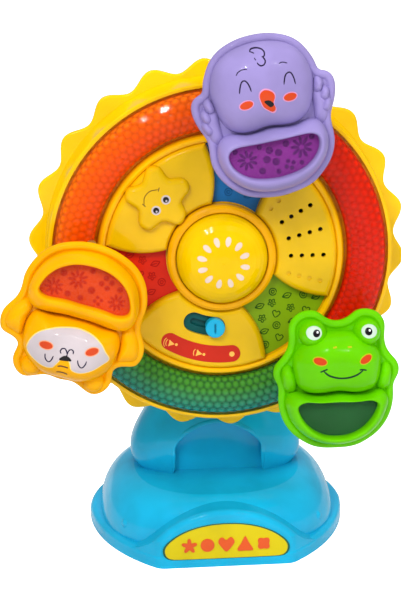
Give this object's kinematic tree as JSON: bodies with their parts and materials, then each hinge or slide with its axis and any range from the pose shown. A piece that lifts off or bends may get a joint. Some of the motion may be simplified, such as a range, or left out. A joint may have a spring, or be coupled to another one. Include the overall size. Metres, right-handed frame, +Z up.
{
  "type": "toy ferris wheel",
  "caption": "Table-top toy ferris wheel on a domed blue stand: a scalloped yellow wheel with a large hub button, clear windows and animal-faced gondolas that spin.",
  "frame": {"origin": "middle of the stand's underside, on the surface it stands on", "axes": "+Z up; the wheel's face looks along -Y; +X to the onlooker's right"},
  "size_m": [0.2155, 0.174, 0.2847],
  "materials": {
    "stand_blue": "glossy bright blue moulded plastic",
    "foot_rubber": "dark rubber",
    "screw_steel": "zinc-plated steel",
    "sign_yellow": "glossy yellow plastic with printed shapes",
    "inner_black": "black plastic",
    "inner_white": "white plastic",
    "inner_green": "green board",
    "cell_metal": "metal-cased cell, at about a real cell's density",
    "wheel_yellow": "glossy warm yellow moulded plastic",
    "window_orange": "clear orange plastic",
    "window_red": "clear red plastic",
    "window_green": "clear green plastic",
    "lining_orange": "dimpled orange plastic",
    "lining_red": "dimpled red plastic",
    "lining_green": "dimpled green plastic",
    "film_blue": "blue printed film",
    "film_red": "red printed film",
    "film_green": "green printed film",
    "collar_orange": "glossy orange-yellow plastic",
    "label_red": "red printed label",
    "button_yellow": "glossy yellow plastic",
    "knob_blue": "glossy light blue plastic",
    "bird_lavender": "glossy lavender plastic",
    "cub_orange": "glossy orange plastic",
    "frog_green": "glossy bright green plastic",
    "window_purple": "clear purple plastic",
    "window_coral": "clear orange-red plastic",
    "window_dark_green": "clear dark green plastic",
    "card_purple": "purple card printed with flowers",
    "card_coral": "orange-red card printed with flowers",
    "card_green": "dark green card printed with dots"
  },
  "bodies": {
    "stand": {"stand_front_shell": "stand_blue", "stand_rear_shell": "stand_blue", "stand_skirt": "stand_blue", "bottom_plate": "inner_black", "rubber_feet": "foot_rubber", "base_screws": "screw_steel", "dome_screws": "screw_steel", "stem_screws": "screw_steel", "sign_plate": "sign_yellow", "main_axle": "screw_steel", "axle_washer": "screw_steel", "axle_screw": "screw_steel"},
    "wheel": {"wheel_bush": "inner_white", "wheel_front_housing": "wheel_yellow", "window_orange": "window_orange", "window_red": "window_red", "window_green": "window_green", "reflector_orange": "lining_orange", "reflector_red": "lining_red", "reflector_green": "lining_green", "film_blue": "film_blue", "film_red": "film_red", "film_green": "film_green", "hub_collar": "collar_orange", "hub_button_pad": "foot_rubber", "switch_plate": "inner_black", "volume_label": "label_red", "wheel_rear_housing": "wheel_yellow", "battery_door": "wheel_yellow", "battery_door_screw": "screw_steel", "battery_cells": "cell_metal", "battery_contacts": "screw_steel", "circuit_board": "inner_green", "board_screws": "screw_steel", "speaker": "inner_black", "leds": "inner_white", "wheel_screws": "screw_steel", "pivot_pins": "inner_white", "pivot_washers": "screw_steel", "pivot_screws": "screw_steel"},
    "bird_pod": {"bird_rear_shell": "bird_lavender", "bird_front_shell": "bird_lavender", "bird_window": "window_purple", "bird_window_card": "card_purple", "bird_screws": "screw_steel"},
    "cub_pod": {"cub_rear_shell": "cub_orange", "cub_front_shell": "cub_orange", "cub_window": "window_coral", "cub_window_card": "card_coral", "cub_screws": "screw_steel"},
    "frog_pod": {"frog_rear_shell": "frog_green", "frog_front_shell": "frog_green", "frog_window": "window_dark_green", "frog_window_card": "card_green", "frog_screws": "screw_steel"},
    "hub_button": {"hub_button": "button_yellow"},
    "switch": {"switch_knob": "knob_blue"}
  },
  "joints": [
    {"name": "wheel_spin", "type": "hinge", "parent": "stand", "child": "wheel", "pos_m": [0, -0.04, 0.169], "axis": [0, -1, 0], "continuous": true},
    {"name": "bird_spin", "type": "hinge", "parent": "wheel", "child": "bird_pod", "pos_m": [0.02045, -0.08, 0.24531], "axis": [0, -1, 0], "continuous": true},
    {"name": "cub_spin", "type": "hinge", "parent": "wheel", "child": "cub_pod", "pos_m": [-0.07631, -0.08, 0.14855], "axis": [0, -1, 0], "continuous": true},
    {"name": "frog_spin", "type": "hinge", "parent": "wheel", "child": "frog_pod", "pos_m": [0.05586, -0.08, 0.11314], "axis": [0, -1, 0], "continuous": true},
    {"name": "hub_button_press", "type": "slide", "parent": "wheel", "child": "hub_button", "axis": [0, 1, 0], "range_m": [0, 0.002], "stiffness_N_per_m": 400, "springref_m": -0.002, "deforming": ["hub_button_pad"]},
    {"name": "switch_turn", "type": "hinge", "parent": "wheel", "child": "switch", "pos_m": [0, -0.06, 0.169], "axis": [0, 1, 0], "range_deg": [0, 17.6]}
  ]
}
